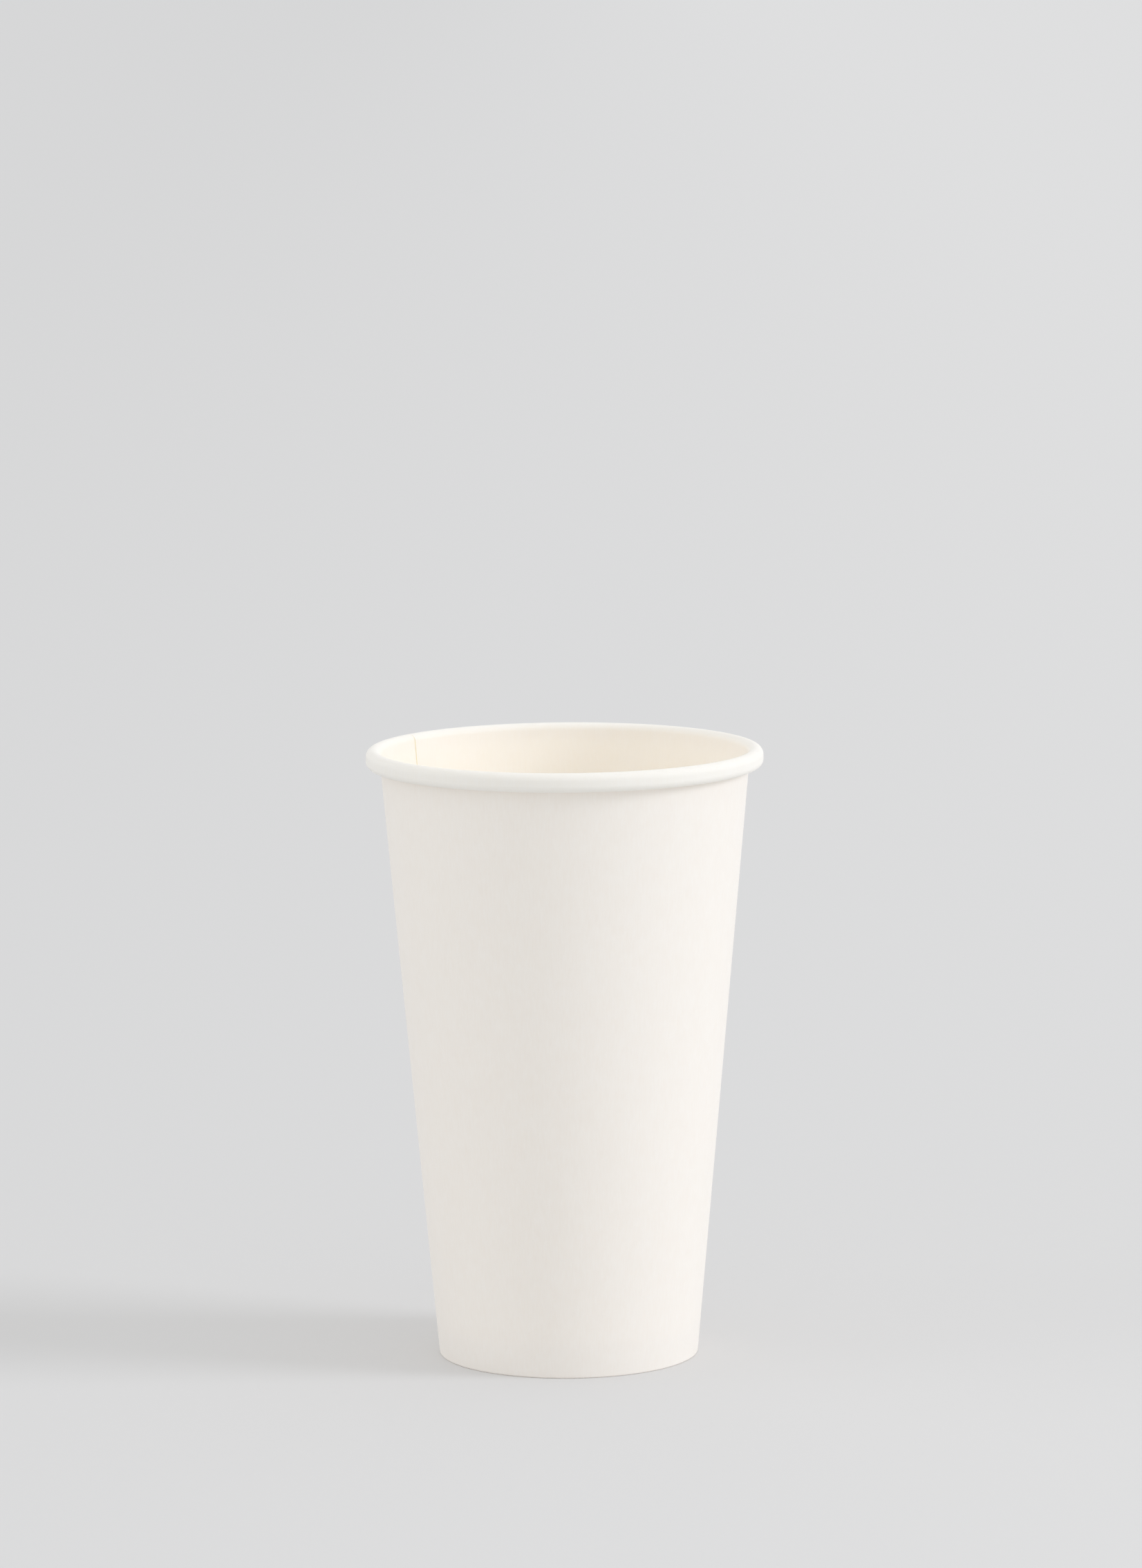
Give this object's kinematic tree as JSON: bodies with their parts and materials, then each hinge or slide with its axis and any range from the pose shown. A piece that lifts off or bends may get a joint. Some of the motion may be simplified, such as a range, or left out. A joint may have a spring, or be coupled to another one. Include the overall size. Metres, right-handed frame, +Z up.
{
  "type": "disposable hot cup",
  "caption": "Plain white single-wall paper cup, a tapered tall cone with a rolled rim, a lapped side seam and a bottom disc sealed into a folded foot, for hot drinks.",
  "frame": {"origin": "centre of the foot, on the plane the cup stands on", "axes": "+Z up along the cup's axis from the foot to the rim; +X to the right and -Y towards the viewer of the picture"},
  "size_m": [0.0901, 0.0899, 0.1395],
  "materials": {
    "wall_board": "uncoated-looking white cupstock, thinly coated inside",
    "floor_board": "thinly coated white cupstock"
  },
  "bodies": {
    "root": {"sidewall": "wall_board", "bottom_disc": "floor_board"}
  },
  "joints": []
}
